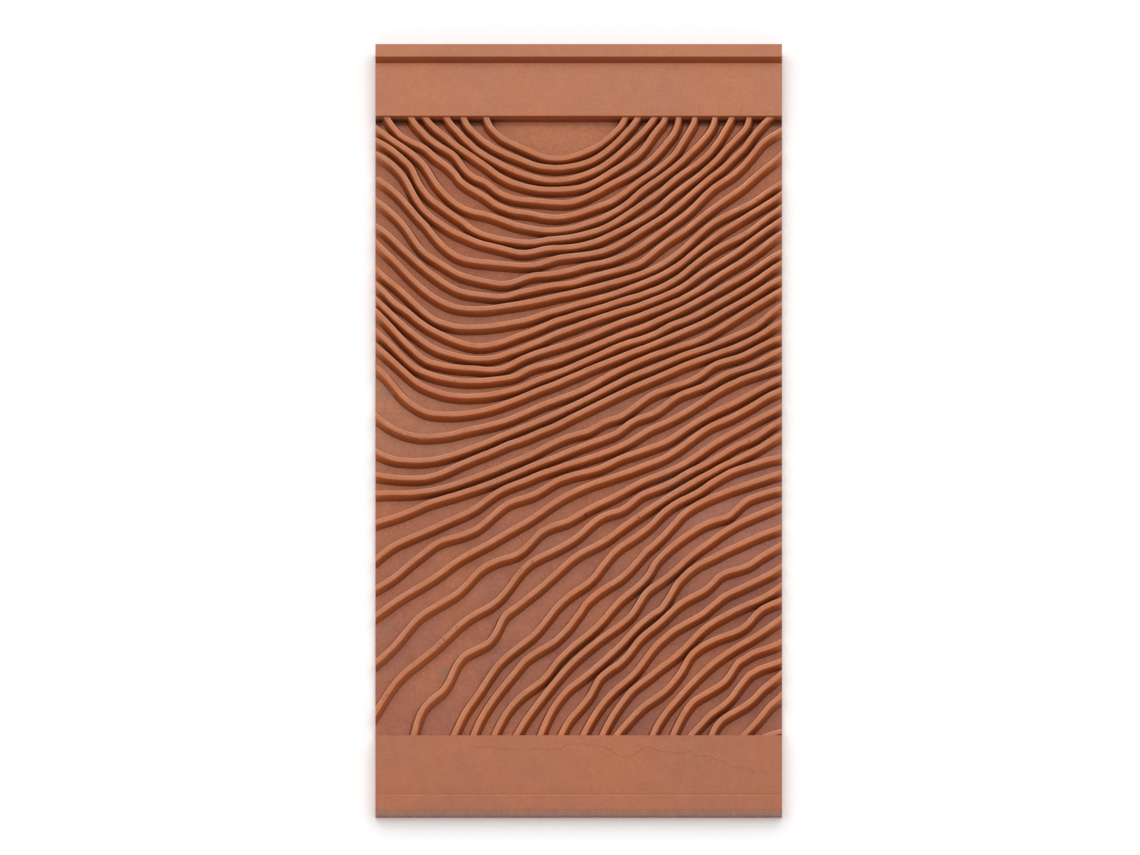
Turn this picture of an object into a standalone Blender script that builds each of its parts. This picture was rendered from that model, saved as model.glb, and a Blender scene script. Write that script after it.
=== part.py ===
"""Wood-graining pad: one flat rubber moulding with a field of curved grain ribs between two end bands.

Metres. +Z up. The origin is the middle of the back face, which lies flat at z = 0. The head end, where the
grain closes into nested arches, is at +Y, and +X is to the right of someone reading the grain from the tail.
"""
import bmesh
import bpy
from mathutils import Vector

for old in list(bpy.data.objects):
    bpy.data.objects.remove(old, do_unlink=True)

# driving dimensions, all in metres
PAD_WIDTH = 0.100            # across the grain, side edge to side edge
PAD_LENGTH = 0.2074          # head end to tail end
SHEET_THICKNESS = 0.0015     # backing sheet under the ribs
RIB_HEIGHT = 0.0021          # groove floor to rib top
RIB_TOP_WIDTH = 0.00125      # flat printing land
RIB_FOOT_WIDTH = 0.0017      # where the drafted flanks meet the sheet
BAND_HEIGHT = 0.0026         # end bands stand a little above the rib tops
HEAD_LIP_HEIGHT = 0.0045     # the head lip stands highest
TAIL_LIP_HEIGHT = 0.0031     # the tail lip stands a little above its band
HEAD_END_LENGTH = 0.0188     # head band and its lip together
TAIL_END_LENGTH = 0.0206     # tail band and its lip together
HEAD_LIP_LENGTH = 0.0037
TAIL_LIP_LENGTH = 0.0044
CORNER_EASE = 0.0004         # the four outer corners of the pad
LIP_EASE = 0.0003            # long top edges of the lips
COURSE_TOLERANCE = 0.00005   # how far a straight facet may stray from the rib's curve
END_CLEARANCE = 0.0004       # shortest facet beside a slanting rib end

# what follows from them
HALF_WIDTH = PAD_WIDTH / 2
HALF_LENGTH = PAD_LENGTH / 2
FIELD_TOP_Y = HALF_LENGTH - HEAD_END_LENGTH
FIELD_BOTTOM_Y = -HALF_LENGTH + TAIL_END_LENGTH
FIELD_LENGTH = FIELD_TOP_Y - FIELD_BOTTOM_Y
RUBBER_COLOR = (0.578, 0.242, 0.141, 1.0)
BAND_COLOR = (0.484, 0.181, 0.098, 1.0)
LIP_COLOR = (0.503, 0.205, 0.115, 1.0)
SHEET_COLOR = (0.376, 0.141, 0.098, 1.0)

# where the grain runs
# One row a rib, from the head to the tail, in thousandths. "a/b" is a place: a share of the pad's width from
# the left edge and a share of the field's length from the head band. A bare number is the share of the
# length at the next fortieth of the width.
SHARE_UNITS = 1000
SHARE_STEP = 25
RIB_COURSE_SHARES = (
    "272/0 278/11 288/20 302/28 315/35 331/40 46 53 61 66 67 65 60 53 45 32 589/23 603/15 610/7 615/0",
    "216/0 223/11 234/19 246/26 258/34 272/41 289/48 52 60 66 73 79 81 82 80 77 72 64 51 37 622/20 636/11"
    " 646/0",
    "174/0 186/12 199/20 210/28 221/36 233/43 248/52 262/58 278/65 294/70 311/77 332/83 89 94 99 102 102"
    " 100 96 90 83 72 59 44 29 668/16 680/7 687/0",
    "122/0 136/12 152/21 167/28 180/35 193/43 208/50 221/56 238/63 69 268/77 279/82 292/89 305/95 319/100"
    " 334/105 108 113 116 117 117 116 114 109 101 90 80 70 59 37 684/27 698/16 709/8 713/0",
    "87/0 98/12 110/20 121/27 131/34 143/40 157/46 171/51 185/57 195/62 201/67 208/73 214/79 225/88 236/94"
    " 249/99 264/102 279/108 291/115 303/121 318/126 334/130 132 134 135 137 138 138 134 127 119 109 101 93"
    " 83 679/68 691/59 704/51 716/40 729/31 737/22 742/14 745/8 746/0",
    "28/0 37/11 48/19 59/28 70/33 82/37 96/42 110/45 122/50 133/56 145/64 156/69 169/75 181/81 191/88"
    " 198/92 204/99 213/105 225/111 241/117 257/123 270/128 284/135 296/141 310/145 330/150 153 154 158 161"
    " 162 159 155 149 143 138 128 115 102 678/91 703/79 727/65 740/56 752/43 764/30 778/16 784/8 786/0",
    "17 29 41 51 64 118/75 132/89 146/105 165/120 187/134 204/142 150 154 157 163 169 175 178 181 183 182"
    " 180 176 170 165 157 148 137 120 680/107 704/96 730/83 753/71 770/59 787/49 805/37 819/26 829/16 834/7"
    " 835/0",
    "37 45 57 72 88/80 95/91 104/104 116/117 138/134 152/139 151 162 216/169 232/178 247/184 268/190 191"
    " 196 198 201 202 201 197 196 194 191 187 182 175 165 154 143 132 121 106 93 82 70 820/58 832/48 845/37"
    " 855/26 864/16 872/8 877/0",
    "59 67 81 68/94 80/107 89/119 103/136 123/153 153/168 178 188 194 202 206 210 214 219 219 215 211 211"
    " 210 208 204 199 191 183 175 166 157 144 128 116 104 92 77 844/66 860/52 879/40 895/29 910/19 918/9"
    " 919/0",
    "98 108 121 80/142 101/160 122/173 133/182 197 213 225 230 233 234 236 237 239 239 238 232 226 225 223"
    " 221 218 213 205 195 184 174 164 153 140 125 111 96 85 69 894/57 910/47 924/33 938/22 953/11 962/5"
    " 966/3",
    "134 145 160 177 204 222 231 242 252 258 262 265 269 269 264 257 254 254 251 248 243 238 236 232 226"
    " 219 210 198 187 174 163 150 133 116 105 95 81 62 40 29 20",
    "175 185 201 217 232 246 259 270 279 284 286 288 290 289 283 280 276 272 270 269 265 259 254 250 246"
    " 241 236 223 209 197 188 175 162 149 137 126 115 100 85 73 58",
    "201 218 232 251 267 282 293 302 307 309 310 309 307 304 302 299 296 292 288 285 281 277 273 268 264"
    " 259 254 247 239 229 216 201 186 172 162 154 146 139 126 115 105",
    "244 260 272 287 303 318 329 334 339 339 339 338 336 333 330 327 321 315 311 306 301 297 292 288 282"
    " 276 270 263 256 247 237 223 209 197 185 175 165 155 145 135 123",
    "270 284 303 311 326 338 347 355 362 367 370 369 365 360 353 348 341 334 327 323 317 313 308 303 297"
    " 292 288 281 276 267 257 243 230 218 208 200 192 182 168 157 145",
    "294 309 325 340 353 366 375 381 385 389 390 390 387 381 376 369 363 355 348 342 336 330 324 319 313"
    " 309 304 297 291 284 276 265 252 243 233 223 212 199 187 176 165",
    "313 329 347 365 380 394 398 402 404 405 406 408 408 403 393 386 380 375 370 365 359 353 346 339 332"
    " 326 321 314 308 301 295 285 277 264 253 243 234 223 211 197 187",
    "344 359 375 392 406 413 419 422 425 426 426 425 423 421 417 406 401 397 393 386 379 373 366 359 353"
    " 346 341 334 326 319 311 303 294 285 276 267 258 248 237 225 217",
    "369 383 398 413 428 437 443 448 450 451 450 449 446 442 438 431 424 418 412 406 398 391 384 376 369"
    " 363 359 353 346 335 330 324 316 306 297 288 278 268 257 245 235",
    "403 416 438 457 468 477 479 480 480 478 476 472 467 461 455 448 441 435 429 421 415 407 401 394 388"
    " 381 375 369 362 355 348 341 334 326 316 307 298 289 278 268 259",
    "481 495 505 511 515 516 515 513 510 505 502 498 494 489 482 475 467 461 455 449 443 435 426 416 408"
    " 400 393 386 380 375 369 365 358 349 339 329 318 308 298 288 279",
    "539 548 553 554 555 554 552 548 543 537 531 525 517 511 504 498 491 484 477 469 461 453 445 436 428"
    " 419 413 407 400 393 386 380 375 369 362 355 348 341 329 314 303",
    "577 580 582 583 583 582 578 571 563 556 549 543 536 528 523 517 509 503 496 487 479 471 463 455 447"
    " 439 432 425 418 411 403 397 391 385 379 374 367 359 350 339 330",
    "608 607 607 607 606 604 601 597 592 586 580 574 567 560 554 547 539 530 522 515 511 507 496 488 485"
    " 474 461 449 442 436 431 426 416 402 395 391 386 378 369 361 356",
    "655 650 645 639 632 624 619 614 610 604 599 593 587 580 573 566 559 553 547 540 533 527 521 515 508"
    " 493 485 481 472 458 447 442 436 429 418 411 406 401 392 383 375",
    "714 700 689 682 675 668 661 653 646 639 630 617 605 597 591 585 577 572 566 560 556 550 545 539 532"
    " 524 514 503 497 489 481 471 461 449 439 431 423 417 412 406 400",
    "761 752 741 726 713 700 687 681 677 672 665 651 636 623 617 613 606 595 585 580 575 572 567 560 551"
    " 545 540 534 528 521 509 498 488 479 471 464 455 446 437 428 421",
    "805 793 781 771 761 752 741 729 716 707 698 690 680 671 661 652 641 629 618 609 601 594 588 583 577"
    " 572 565 559 553 544 534 521 509 498 492 485 476 467 456 447 440",
    "881 867 851 830 810 798 789 779 770 754 734 723 715 711 706 692 672 662 657 652 642 632 624 617 608"
    " 599 590 583 577 570 563 553 542 530 520 511 502 493 484 476 467",
    "961 934 910 894 882 869 855 840 823 810 800 792 781 762 738 721 711 704 696 687 676 660 646 639 636"
    " 626 610 604 598 591 581 571 564 555 546 535 526 521 510 498 489",
    "94/1000 100/982 107/968 117/954 134/942 934 163/928 178/915 186/903 194/891 203/880 215/870 228/865"
    " 858 273/851 286/843 301/827 309/814 317/805 800 789 775 763 748 733 718 705 697 689 679 666 654 643"
    " 632 621 611 601 592 582 574 564 557 549 541 532 521 513",
    "192/1000 203/984 213/969 226/955 239/943 253/931 267/917 278/905 291/893 303/882 869 856 844 829 808"
    " 441/794 788 772 762 751 542/739 552/729 564/720 579/707 592/699 694 684 673 660 687/652 643 712/636"
    " 629 740/623 619 612 603 814/596 591 581 572 566 561 556 551 548",
    "240/1000 252/981 261/969 277/952 291/939 304/927 331/906 357/885 367/877 873 862 853 442/846 455/837"
    " 470/828 482/818 493/808 504/799 514/788 780 766 756 746 614/738 632/726 653/710 664/701 696 681"
    " 717/669 663 741/652 644 631 622 614 608 601 596 590 585 579 574",
    "291/1000 309/975 328/955 350/939 926 915 412/908 428/897 443/882 877 860 847 834 819 568/806 799"
    " 590/789 781 768 755 667/743 679/731 686/721 697/713 705/707 695 682 671 660 653 648 863/646 641"
    " 888/632 625 913/618 614 609 603 600",
    "345/1000 363/979 380/963 405/942 430/921 455/901 480/883 871 857 844 832 821 614/813 628/805 640/794"
    " 651/782 661/771 675/761 751 738 724 708 696 685 672 662 653 646 639 632 624",
    "405/1000 417/980 429/963 440/951 453/939 922 911 898 884 869 855 836 640/826 819 806 688/800 796"
    " 711/787 726/771 735/760 744/751 747 765/737 731 720 713 704 696 689 681 674 668 662",
    "455/1000 471/978 486/966 500/956 516/944 528/934 537/922 545/912 551/905 892 594/885 604/879 620/869"
    " 634/856 653/840 829 816 800 738/792 785 775 768 813/762 831/751 841/743 739 859/736 732 728 920/723"
    " 934/716 709 699 690",
    "510/1000 524/981 537/967 554/950 579/931 604/917 629/904 645/892 656/882 667/872 681/860 694/850 847"
    " 832 822 813 804 813/798 790 842/782 776 767 760 752 744 736 725",
    "557/1000 570/982 581/969 593/957 603/948 618/935 628/927 642/919 915 903 889 878 864 847 830 817 808"
    " 799 791 784 777 768 756",
    "591/1000 604/989 627/972 653/954 678/942 933 718/923 734/911 748/899 757/890 767/877 778/866 855 846"
    " 839 834 895/828 909/822 919/816 932/805 946/796 959/791 786 780",
    "681/1000 691/984 705/970 719/957 731/948 756/930 779/913 804/897 828/883 872 861 851 842 832 820 808",
    "731/1000 742/983 753/969 765/956 780/943 935 926 916 864/908 876/896 886/885 895/878 910/873 866 860"
    " 855 847",
    "774/1000 794/985 811/973 826/963 953 864/945 880/934 894/920 905/911 916/902 898 939/893 889 884 878",
    "826/1000 834/986 851/972 963 954 943 943/930 953/923 912 898",
    "903/1000 927/984 943/972 957/961 969/951 978/946 991/939 933",
    "961/1000 977/996 988/994 992",
)

collection = bpy.data.collections.new("graining_pad")
bpy.context.scene.collection.children.link(collection)


def rubber(name, color):
    """Matt moulded rubber in the given colour."""
    material = bpy.data.materials.new(name)
    material.use_nodes = True
    shader = material.node_tree.nodes["Principled BSDF"]
    shader.inputs["Base Color"].default_value = color
    shader.inputs["Roughness"].default_value = 0.72
    shader.inputs["Metallic"].default_value = 0.0
    shader.inputs["Specular IOR Level"].default_value = 0.35
    material.diffuse_color = color
    return material


def add_object(name, bm, color):
    """A closed body from a bmesh, facing out, with a material of its own."""
    bmesh.ops.recalc_face_normals(bm, faces=bm.faces)
    mesh = bpy.data.meshes.new(name)
    bm.to_mesh(mesh)
    bm.free()
    made = bpy.data.objects.new(name, mesh)
    collection.objects.link(made)
    mesh.materials.append(rubber(name, color))
    return made


def slab(name, y_low, y_high, z_low, z_high, color, ease=0.0, corner_sides=()):
    """A full-width slab; its long top edges and the outer corners named by corner_sides are eased."""
    bm = bmesh.new()
    bmesh.ops.create_cube(bm, size=1.0)
    bmesh.ops.scale(bm, vec=(PAD_WIDTH, y_high - y_low, z_high - z_low), verts=bm.verts)
    bmesh.ops.translate(bm, vec=(0.0, (y_low + y_high) / 2, (z_low + z_high) / 2), verts=bm.verts)
    middle = (y_low + y_high) / 2
    upright = []
    for edge in bm.edges:
        a, b = edge.verts[0].co, edge.verts[1].co
        stands = abs(a.z - b.z) > (z_high - z_low) / 2
        side = 1 if a.y > middle else -1
        if stands and side in corner_sides:
            upright.append(edge)
    if upright:
        bmesh.ops.bevel(bm, geom=upright, offset=CORNER_EASE, segments=3, profile=0.5, affect="EDGES")
    if ease > 0.0:
        long_top = []
        for edge in bm.edges:
            a, b = edge.verts[0].co, edge.verts[1].co
            at_top = min(a.z, b.z) > (z_low + z_high) / 2
            if at_top and abs(a.x - b.x) > HALF_WIDTH:
                long_top.append(edge)
        bmesh.ops.bevel(bm, geom=long_top, offset=ease, segments=3, profile=0.5, affect="EDGES")
    return add_object(name, bm, color)


# backing sheet
SHEET_TOP = SHEET_THICKNESS
slab("backing_sheet", -HALF_LENGTH, HALF_LENGTH, 0.0, SHEET_TOP, SHEET_COLOR, corner_sides=(-1, 1))

# end bands, flat and a little above the ribs
BAND_TOP = SHEET_TOP + BAND_HEIGHT
HEAD_LIP_Y = HALF_LENGTH - HEAD_LIP_LENGTH
TAIL_LIP_Y = -HALF_LENGTH + TAIL_LIP_LENGTH
slab("head_band", FIELD_TOP_Y, HEAD_LIP_Y, SHEET_TOP, BAND_TOP, BAND_COLOR)
slab("tail_band", TAIL_LIP_Y, FIELD_BOTTOM_Y, SHEET_TOP, BAND_TOP, BAND_COLOR)

# end lips, the highest part of the moulding
HEAD_LIP_TOP = SHEET_TOP + HEAD_LIP_HEIGHT
TAIL_LIP_TOP = SHEET_TOP + TAIL_LIP_HEIGHT
slab("head_lip", HEAD_LIP_Y, HALF_LENGTH, SHEET_TOP, HEAD_LIP_TOP, LIP_COLOR, ease=LIP_EASE, corner_sides=(1,))
slab("tail_lip", -HALF_LENGTH, TAIL_LIP_Y, SHEET_TOP, TAIL_LIP_TOP, LIP_COLOR, ease=LIP_EASE, corner_sides=(-1,))


# grain ribs
def read_course(row):
    """Places along one rib in the pad's plane, from its row of shares."""
    places = []
    across = -1
    for word in row.split():
        if "/" in word:
            across, along = (int(part) for part in word.split("/"))
        else:
            across = (across // SHARE_STEP + 1) * SHARE_STEP
            along = int(word)
        x = -HALF_WIDTH + PAD_WIDTH * across / SHARE_UNITS
        y = FIELD_TOP_Y - FIELD_LENGTH * along / SHARE_UNITS
        places.append(Vector((x, y)))
    return places


def smooth_course(places, cuts=6):
    """A cubic B-spline through the run of the places that keeps both ends, as close points."""
    first = places[0] * 2 - places[1]
    last = places[-1] * 2 - places[-2]
    run = [first] + places + [last]
    points = []
    for i in range(len(run) - 3):
        a, b, c, d = run[i:i + 4]
        for step in range(cuts):
            t = step / cuts
            w0 = (1 - t) ** 3 / 6
            w1 = (3 * t ** 3 - 6 * t ** 2 + 4) / 6
            w2 = (-3 * t ** 3 + 3 * t ** 2 + 3 * t + 1) / 6
            w3 = t ** 3 / 6
            points.append(a * w0 + b * w1 + c * w2 + d * w3)
    points.append(places[-1].copy())
    points[0] = places[0].copy()
    return points


def thin_course(points, tolerance):
    """Which close points to keep so that no straight facet strays further than the tolerance."""
    keep = {0, len(points) - 1}
    spans = [(0, len(points) - 1)]
    while spans:
        low, high = spans.pop()
        chord = points[high] - points[low]
        length = chord.length
        worst, where = 0.0, None
        for i in range(low + 1, high):
            offset = points[i] - points[low]
            stray = abs(chord.x * offset.y - chord.y * offset.x) / length
            if stray > worst:
                worst, where = stray, i
        if where is not None and worst > tolerance:
            keep.add(where)
            spans.append((low, where))
            spans.append((where, high))
    return sorted(keep)


def end_direction(place):
    """The level direction in the plane where a rib stops: along the side edge, or along the band."""
    if abs(abs(place.x) - HALF_WIDTH) < PAD_WIDTH / SHARE_UNITS / 2:
        return Vector((0.0, 1.0))
    return Vector((1.0, 0.0))


def rib_sections(row):
    """For each kept point: its place and the half-width vector of a rib one unit wide there."""
    points = smooth_course(read_course(row))
    kept = thin_course(points, COURSE_TOLERANCE)
    tangents = []
    for i in range(len(points)):
        ahead = points[min(i + 1, len(points) - 1)]
        behind = points[max(i - 1, 0)]
        tangents.append((ahead - behind).normalized())
    sections = []
    reaches = []
    for i in (kept[0], kept[-1]):
        along = end_direction(points[i])
        normal = Vector((-tangents[i].y, tangents[i].x))
        share = along.dot(normal)
        aside = along / share / 2
        sections.append((points[i], aside))
        reaches.append(abs(aside.dot(tangents[i])) * RIB_FOOT_WIDTH + END_CLEARANCE)
    inner = []
    for i in kept[1:-1]:
        clear_of_start = (points[i] - points[kept[0]]).length > reaches[0]
        clear_of_finish = (points[i] - points[kept[-1]]).length > reaches[1]
        if clear_of_start and clear_of_finish:
            normal = Vector((-tangents[i].y, tangents[i].x))
            inner.append((points[i], normal / 2))
    return [sections[0]] + inner + [sections[1]]


def grain_rib(name, row):
    """One rib lofted along its course, drafted flanks, standing on the sheet and cut flush at its ends."""
    bm = bmesh.new()
    rings = []
    for place, aside in rib_sections(row):
        ring = []
        for width, height in ((-RIB_FOOT_WIDTH, 0.0), (RIB_FOOT_WIDTH, 0.0),
                              (RIB_TOP_WIDTH, RIB_HEIGHT), (-RIB_TOP_WIDTH, RIB_HEIGHT)):
            spot = place + aside * width
            ring.append(bm.verts.new((spot.x, spot.y, SHEET_TOP + height)))
        rings.append(ring)
    for ring, following in zip(rings, rings[1:]):
        for k in range(len(ring)):
            near = (k + 1) % len(ring)
            bm.faces.new((ring[k], ring[near], following[near], following[k]))
    bm.faces.new(rings[0])
    bm.faces.new(reversed(rings[-1]))
    return add_object(name, bm, RUBBER_COLOR)


for number, course in enumerate(RIB_COURSE_SHARES, start=1):
    grain_rib(f"grain_rib_{number:02d}", course)
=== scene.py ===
"""Wood-graining pad in moulded rubber, dressed over its solids and seen from above its tail end."""
import math

import bmesh
import bpy
import numpy as np
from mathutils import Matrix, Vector


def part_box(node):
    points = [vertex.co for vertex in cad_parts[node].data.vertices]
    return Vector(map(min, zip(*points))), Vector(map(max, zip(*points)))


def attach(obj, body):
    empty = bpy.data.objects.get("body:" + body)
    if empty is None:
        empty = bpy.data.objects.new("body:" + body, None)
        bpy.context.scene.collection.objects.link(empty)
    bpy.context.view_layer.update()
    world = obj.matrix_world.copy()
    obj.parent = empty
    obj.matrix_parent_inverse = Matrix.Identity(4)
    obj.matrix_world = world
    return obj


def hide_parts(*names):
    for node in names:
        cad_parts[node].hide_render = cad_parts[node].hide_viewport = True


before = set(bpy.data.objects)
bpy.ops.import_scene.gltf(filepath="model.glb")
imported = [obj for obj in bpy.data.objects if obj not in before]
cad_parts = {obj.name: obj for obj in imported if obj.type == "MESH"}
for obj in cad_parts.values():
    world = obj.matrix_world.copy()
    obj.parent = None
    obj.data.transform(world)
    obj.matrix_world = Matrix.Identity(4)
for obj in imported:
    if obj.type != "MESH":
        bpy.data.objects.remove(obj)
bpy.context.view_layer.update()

# Backing sheet. The thin web that everything else stands on, moulded in the same pass as the ribs. It shows
# between the ribs as a slightly pink, matt floor, lighter than the ribs' flanks, which carry painted shade.
MM = 0.001
sheet_low, sheet_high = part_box("backing_sheet")
band_low, band_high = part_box("head_band")
tail_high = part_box("tail_band")[1]
half_width = sheet_high[0]
sheet_top = sheet_high[2]
field_top_y = band_low[1]
field_bottom_y = tail_high[1]
field_length = field_top_y - field_bottom_y


def field_y(along):
    """The Y at a share of the grain field's length, counted from the head band."""
    return field_top_y - along * field_length


def field_place(across, along):
    """A place on the pad from its shares of the width and of the grain field's length."""
    return (2 * across - 1) * half_width, field_y(along)


def new_group(name, gives, **takes):
    """An empty shader group. "Color" is a colour, and every other label is a number."""
    group = bpy.data.node_groups.new(name, "ShaderNodeTree")
    for side, labels in (("INPUT", takes), ("OUTPUT", (gives,))):
        for label in labels:
            kind = "NodeSocketColor" if label == "Color" else "NodeSocketFloat"
            socket = group.interface.new_socket(name=label, in_out=side, socket_type=kind)
            if side == "INPUT":
                feed(group, socket, takes[label])
    return group, group.nodes.new("NodeGroupInput"), group.nodes.new("NodeGroupOutput")


def on_object(tree):
    """The object's own coordinates, in metres."""
    return tree.nodes.new("ShaderNodeTexCoord").outputs["Object"]


def split(tree, vector):
    """The X, Y and Z of a vector."""
    node = tree.nodes.new("ShaderNodeSeparateXYZ")
    tree.links.new(vector, node.inputs[0])
    return node.outputs


def facing_parts(tree):
    """The X, Y and Z of the way a face looks."""
    return split(tree, tree.nodes.new("ShaderNodeNewGeometry").outputs["Normal"])


def stretched(tree, scale):
    """The object's coordinates drawn out along the axes with a small scale."""
    node = tree.nodes.new("ShaderNodeMapping")
    node.inputs["Scale"].default_value = scale
    tree.links.new(on_object(tree), node.inputs["Vector"])
    return node.outputs["Vector"]


def noise(tree, scale, detail, roughness=0.55, vector=None):
    """A noise texture; without a vector it reads the object's own metres."""
    node = tree.nodes.new("ShaderNodeTexNoise")
    node.inputs["Scale"].default_value = scale
    node.inputs["Detail"].default_value = detail
    node.inputs["Roughness"].default_value = roughness
    tree.links.new(on_object(tree) if vector is None else vector, node.inputs["Vector"])
    return node.outputs["Fac"]


def feed(tree, socket, value):
    """Fills a socket from another socket, a number or an RGB triple."""
    if isinstance(value, (int, float)):
        socket.default_value = value
    elif isinstance(value, tuple):
        socket.default_value = (*value, 1.0)
    else:
        tree.links.new(value, socket)


def math_node(tree, operation, *values):
    """One math node fed by sockets or numbers."""
    node = tree.nodes.new("ShaderNodeMath")
    node.operation = operation
    for socket, value in zip(node.inputs, values):
        feed(tree, socket, value)
    return node.outputs[0]


def product(tree, first, *others):
    """Sockets and numbers multiplied together."""
    for other in others:
        first = math_node(tree, "MULTIPLY", first, other)
    return first


def remap(tree, value, low, high, to_low=0.0, to_high=1.0, smooth=True):
    """Brings a value from one range to another, clamped."""
    node = tree.nodes.new("ShaderNodeMapRange")
    node.interpolation_type = "SMOOTHSTEP" if smooth else "LINEAR"
    tree.links.new(value, node.inputs["Value"])
    for label, number in (("From Min", low), ("From Max", high), ("To Min", to_low), ("To Max", to_high)):
        node.inputs[label].default_value = number
    return node.outputs["Result"]


def blend(tree, factor, first, second, mode="MIX"):
    """Mixes two colours, each a socket or an RGB triple."""
    node = tree.nodes.new("ShaderNodeMix")
    node.data_type = "RGBA"
    node.blend_type = mode
    node.clamp_factor = True
    for socket, value in ((node.inputs[0], factor), (node.inputs[6], first), (node.inputs[7], second)):
        feed(tree, socket, value)
    return node.outputs[2]


def away_from(tree, vector, centre):
    """The distance of a vector from a fixed place."""
    node = tree.nodes.new("ShaderNodeVectorMath")
    node.operation = "DISTANCE"
    tree.links.new(vector, node.inputs[0])
    node.inputs[1].default_value = centre
    return node.outputs["Value"]


def round_spots(tree, vector, places, height, core):
    """The strongest of several soft round spots, each full within a share of its reach."""
    total = None
    for across, along, reach_mm, strength in places:
        away = away_from(tree, vector, (*field_place(across, along), height))
        spot = remap(tree, away, core * reach_mm * MM, reach_mm * MM, strength, 0.0)
        total = spot if total is None else math_node(tree, "MAXIMUM", total, spot)
    return total


PLAIN_RUBBER = (0.4, 0.15, 0.08)


def rubber_mottle():
    """Cloudy drift between a pinker and a more orange rubber, and a fine pale speckle."""
    group, source, sink = new_group("rubber mottle", "Color", Color=PLAIN_RUBBER, Cloud=1.0, Speckle=1.0)
    half_cloud = product(group, source.outputs["Cloud"], 0.5)
    pink = blend(group, half_cloud, source.outputs["Color"], (0.93, 0.97, 1.06), "MULTIPLY")
    warm = blend(group, half_cloud, source.outputs["Color"], (1.10, 1.02, 0.90), "MULTIPLY")
    drifted = blend(group, remap(group, noise(group, 42.0, 3.0), 0.32, 0.68), pink, warm)
    close = remap(group, noise(group, 300.0, 4.0, 0.62), 0.35, 0.65, 0.975, 1.025)
    grain = remap(group, noise(group, 1250.0, 3.0, 0.75), 0.35, 0.65, 0.955, 1.050)
    tone = math_node(group, "SUBTRACT", product(group, close, grain), 1.0)
    tone = math_node(group, "ADD", product(group, tone, source.outputs["Speckle"]), 1.0)
    shade = group.nodes.new("ShaderNodeCombineColor")
    for channel in shade.inputs[:3]:
        group.links.new(tone, channel)
    final = blend(group, 1.0, drifted, shade.outputs[0], "MULTIPLY")
    group.links.new(final, sink.inputs["Color"])
    return group


def moulded_skin():
    """Height of the fine matt tooth that the mould leaves on every face, with a few larger swells."""
    group, source, sink = new_group("moulded skin", "Height", Tooth=1.0)
    height = product(group, noise(group, 3800.0, 3.0, 0.6), source.outputs["Tooth"])
    height = math_node(group, "MULTIPLY_ADD", noise(group, 1300.0, 2.0, 0.5), 0.8, height)
    height = math_node(group, "MULTIPLY_ADD", noise(group, 210.0, 2.0, 0.5), 1.6, height)
    group.links.new(height, sink.inputs["Height"])
    return group


# shares across the width and along the field, reach in millimetres and strength of each spot
STAINS = (
    (0.442, 0.313, 1.9, 0.75), (0.558, 0.321, 1.7, 0.70), (0.026, 0.819, 2.1, 0.95),
    (0.166, 0.891, 2.0, 0.95), (0.46, 0.035, 2.2, 0.60), (0.022, 0.442, 2.6, 0.90),
    (0.73, 0.59, 8.0, 0.18), (0.30, 0.968, 2.2, 0.35), (0.048, 0.438, 2.0, 0.85),
    (0.085, 0.457, 3.2, 0.40), (0.972, 0.487, 0.9, 0.95), (0.965, 0.493, 0.6, 0.80),
)
STAIN_CORE = 0.2


def paint_stains():
    """Mask of the places where old paint and dust have greyed the rubber."""
    group, _, sink = new_group("paint stains", "Mask")
    total = round_spots(group, on_object(group), STAINS, sheet_top, STAIN_CORE)
    patches = remap(group, noise(group, 900.0, 4.0, 0.65), 0.40, 0.60)
    group.links.new(product(group, total, patches), sink.inputs["Mask"])
    return group


# air holes: shares across and along, reach and strength of the painted shade in the mouth, reach and depth of
# the dent
AIR_HOLES = (
    (0.518, 0.641, 0.30, 1.0, 0.50, 0.50), (0.387, 0.719, 0.20, 0.8, 0.45, 0.42),
    (0.648, 0.647, 0.24, 1.0, 0.50, 0.42), (0.653, 0.644, 0.0, 0.0, 1.30, 0.10),
    (0.920, 0.5245, 0.22, 0.6, 0.50, 0.45), (0.195, 0.428, 0.20, 0.6, 0.45, 0.45),
    (0.940, 0.135, 0.22, 0.6, 0.55, 0.45), (0.620, 0.013, 0.0, 0.0, 0.60, 0.5),
    (0.359, 0.731, 0.22, 0.5, 0.45, 0.30), (0.354, 0.736, 0.16, 0.5, 0.35, 0.25),
    (0.199, 0.824, 0.22, 0.5, 0.45, 0.30), (0.186, 0.831, 0.16, 0.4, 0.35, 0.20),
    (0.168, 0.845, 0.24, 0.55, 0.45, 0.35), (0.160, 0.851, 0.18, 0.5, 0.40, 0.30),
    (0.152, 0.857, 0.15, 0.4, 0.35, 0.20), (0.028, 0.935, 0.22, 0.5, 0.45, 0.30),
    (0.020, 0.941, 0.18, 0.45, 0.40, 0.25), (0.254, 0.995, 0.20, 0.5, 0.40, 0.30),
    (0.975, 0.838, 0.0, 0.0, 0.50, 0.10), (0.254, 0.990, 0.0, 0.0, 0.30, 0.15),
)
MOUTH_CORE = 0.5


def pinholes():
    """Mask of the pinholes and small bites where air was caught in the mould, for the painted shade in them.
    """
    group, _, sink = new_group("pinholes", "Mask")
    parts = split(group, on_object(group))
    flat = group.nodes.new("ShaderNodeCombineXYZ")
    for axis in "XY":
        group.links.new(parts[axis], flat.inputs[axis])
    mouths = [hole[:4] for hole in AIR_HOLES if hole[3]]
    total = round_spots(group, flat.outputs[0], mouths, 0.0, MOUTH_CORE)
    group.links.new(total, sink.inputs["Mask"])
    return group


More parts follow.
